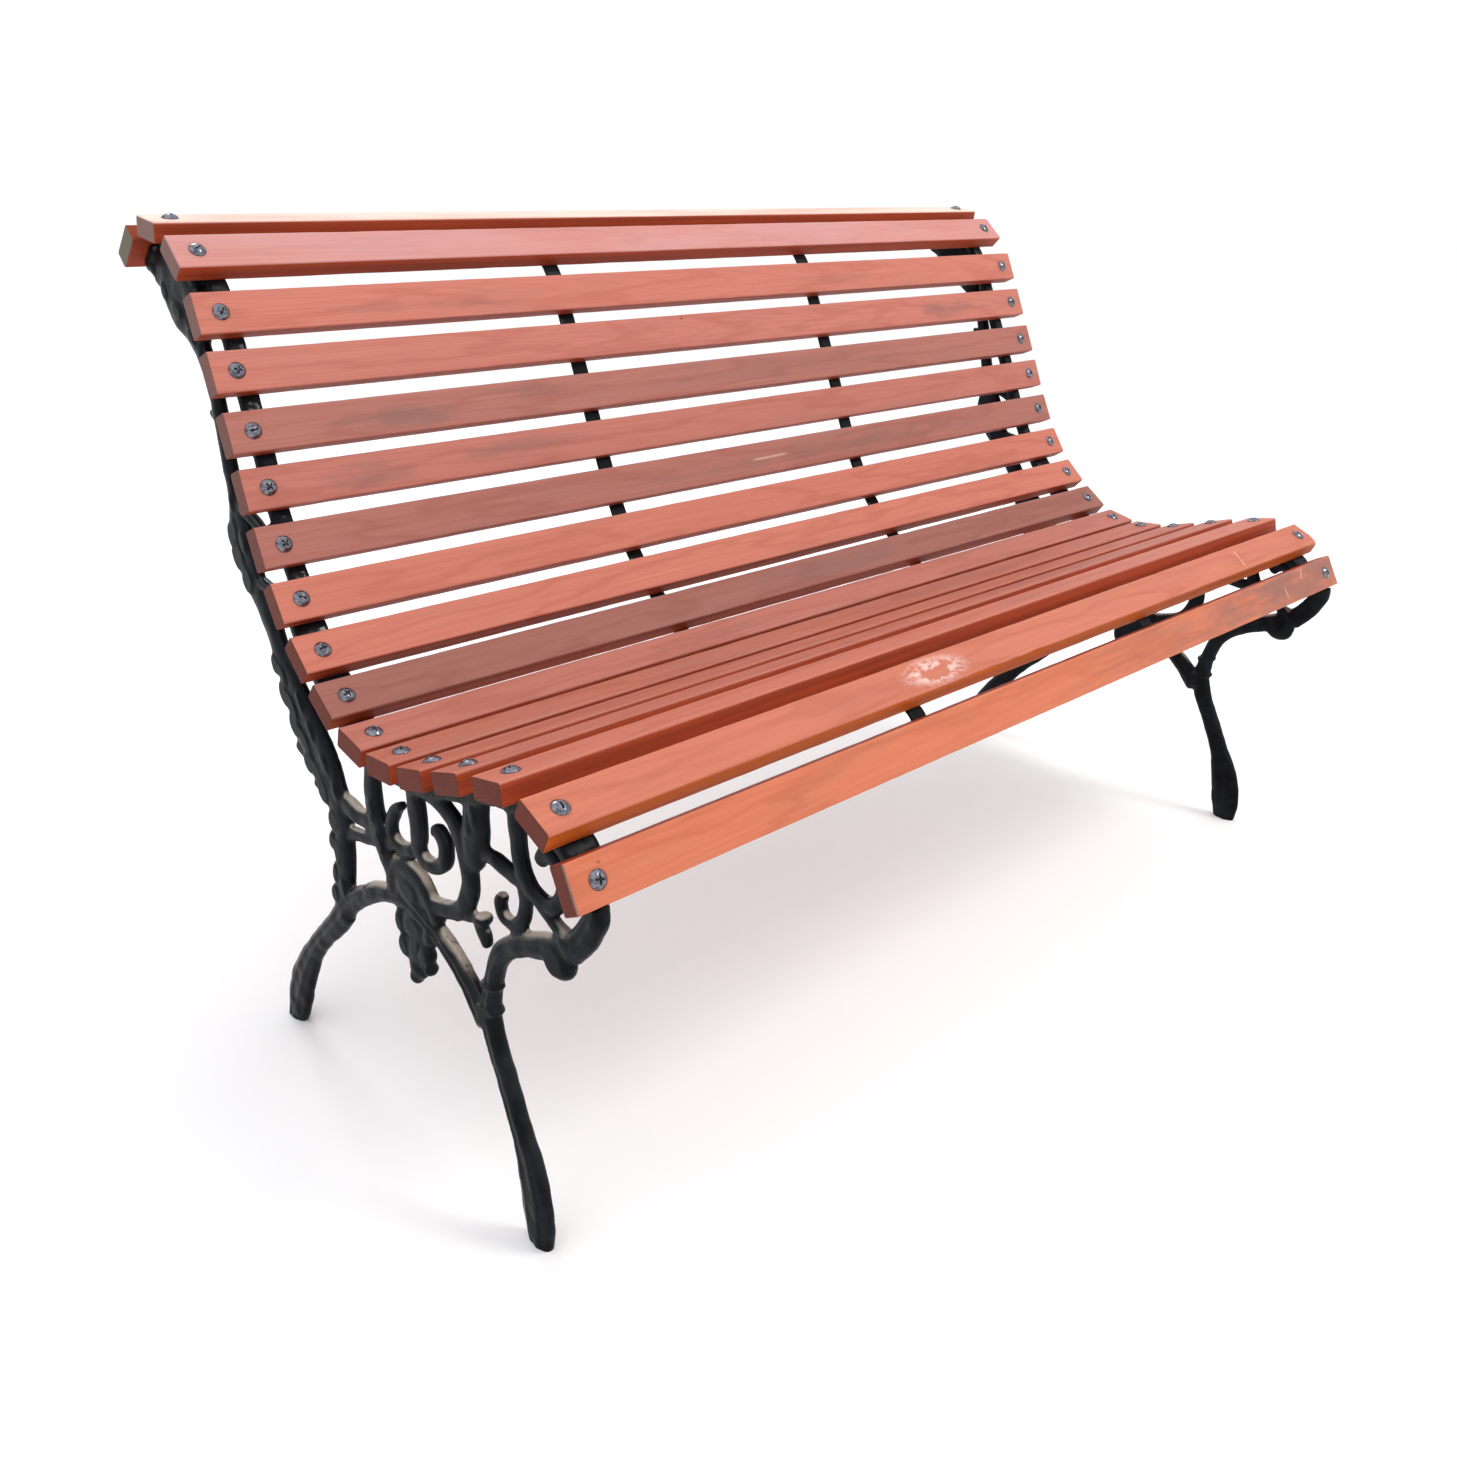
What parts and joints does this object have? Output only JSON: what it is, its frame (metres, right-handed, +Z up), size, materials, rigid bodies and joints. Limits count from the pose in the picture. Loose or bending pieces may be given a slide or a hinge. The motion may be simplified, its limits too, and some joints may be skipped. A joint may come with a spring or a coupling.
{
  "type": "slatted park bench",
  "caption": "Slatted bench with a curled seat and back: wooden slats bolted to two scrolled cast end frames and held together by two bent flat straps.",
  "frame": {"origin": "on the ground under the middle of the bench's overall box", "axes": "+X to the right along the slats as seen from the front, +Y to the back, +Z up"},
  "size_m": [1.3, 0.7529, 0.857],
  "materials": {
    "slats": "stained, weathered satin",
    "end_frames": "black semi-gloss paint on a sand-cast surface",
    "straps": "black satin paint",
    "bolts": "dark burnished steel",
    "screws": "plain zinc plated"
  },
  "bodies": {
    "root": {"slat_01": "slats", "slat_02": "slats", "slat_03": "slats", "slat_04": "slats", "slat_05": "slats", "slat_06": "slats", "slat_07": "slats", "slat_08": "slats", "slat_09": "slats", "slat_10": "slats", "slat_11": "slats", "slat_12": "slats", "slat_13": "slats", "slat_14": "slats", "slat_15": "slats", "slat_16": "slats", "slat_17": "slats", "slat_18": "slats", "left_end_frame": "end_frames", "left_frame_bolts": "bolts", "left_strap": "straps", "left_strap_screws": "screws", "right_end_frame": "end_frames", "right_frame_bolts": "bolts", "right_strap": "straps", "right_strap_screws": "screws"}
  },
  "joints": []
}
